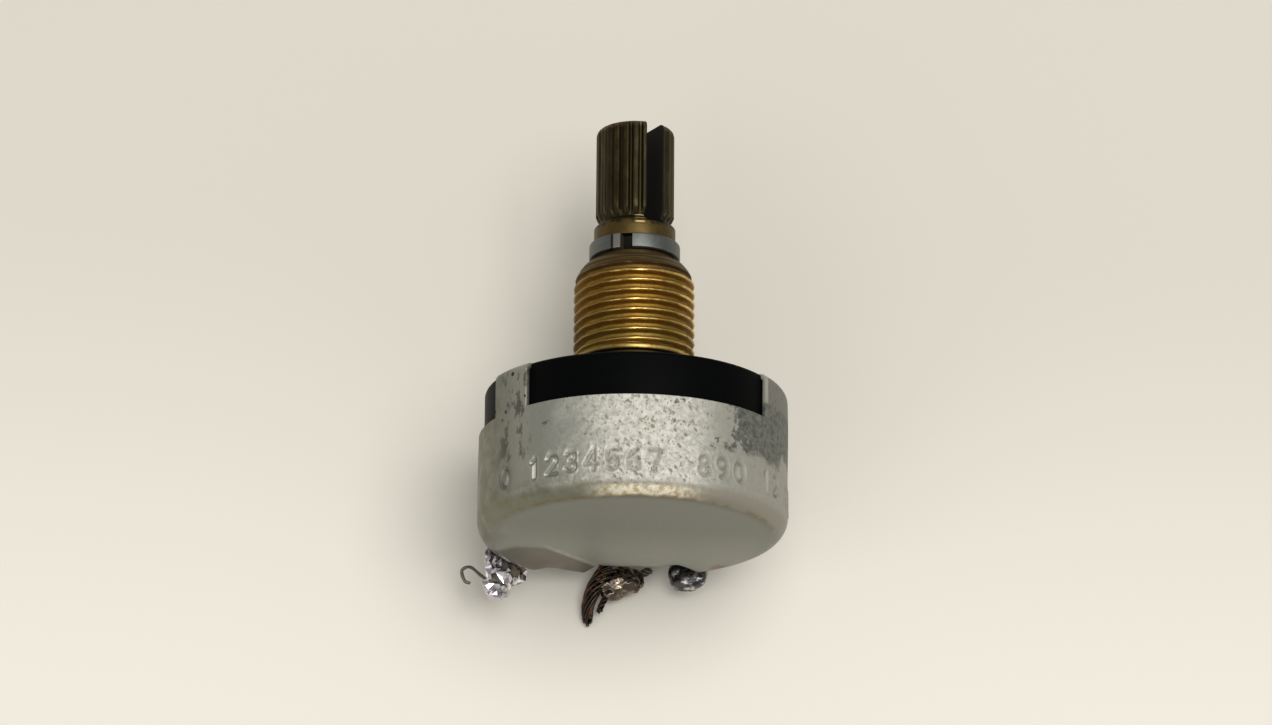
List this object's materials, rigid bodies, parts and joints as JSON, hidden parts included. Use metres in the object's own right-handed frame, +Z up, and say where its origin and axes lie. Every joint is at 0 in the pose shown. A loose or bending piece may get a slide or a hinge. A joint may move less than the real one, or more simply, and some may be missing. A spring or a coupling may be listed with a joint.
{
  "type": "rotary potentiometer",
  "caption": "Panel potentiometer: round drawn case with folded tabs, black moulded base, threaded brass bushing, splined slotted shaft that turns, and solder lugs bent back along the case.",
  "frame": {"origin": "on the shaft's axis, in the plane of the bushing flange's face that seats behind a panel", "axes": "-Y along the shaft towards its slotted tip, +Z up, away from the three lugs, +X to the right seen from the shaft's end"},
  "size_m": [0.0242, 0.0367, 0.0256],
  "materials": {
    "turned_brass": "turned, tarnished golden brown with bright thread crests",
    "oxidised_brass": "dark brown oxidised brass, brighter at the collar",
    "black_phenolic": "glossy moulded phenolic",
    "brown_phenolic": "matt laminate",
    "zinc_plated_steel": "aged zinc plating, mottled, with dark pits",
    "spring_steel": "satin",
    "ring_steel": "bright, lightly worn",
    "carbon": "screened carbon film",
    "silver": "satin silver plate",
    "tinned_brass": "dull tin plate",
    "dull_solder": "glossy dark grey solder",
    "burnt_solder": "glossy solder browned by flux",
    "bright_solder": "bright crumpled solder",
    "tinned_wire": "dull tinned copper",
    "oxidised_copper": "dark oxidised copper strands",
    "bronze": "spring bronze",
    "rivet_brass": "plain"
  },
  "bodies": {
    "housing": {"bushing": "turned_brass", "base_plate": "black_phenolic", "case_can": "zinc_plated_steel", "thrust_washer": "spring_steel", "element_wafer": "brown_phenolic", "carbon_track": "carbon", "collector_ring": "silver", "terminal_1": "tinned_brass", "terminal_rivet_1": "tinned_brass", "terminal_2": "tinned_brass", "terminal_rivet_2": "tinned_brass", "terminal_3": "tinned_brass", "terminal_rivet_3": "tinned_brass", "solder_1": "dull_solder", "solder_2": "burnt_solder", "solder_3": "bright_solder", "wire_end_hook": "tinned_wire", "wire_end_long": "oxidised_copper", "wire_end_short": "oxidised_copper", "wire_end_stub": "oxidised_copper"},
    "rotor": {"shaft": "oxidised_brass", "retaining_ring": "ring_steel", "rotor_disc": "brown_phenolic", "wiper_spring": "bronze", "wiper_rivet_a": "rivet_brass", "wiper_rivet_b": "rivet_brass"}
  },
  "joints": [
    {"name": "shaft_turn", "type": "hinge", "parent": "housing", "child": "rotor", "pos_m": [0, 0, 0], "axis": [0, -1, 0], "range_deg": [-174, 126]}
  ]
}
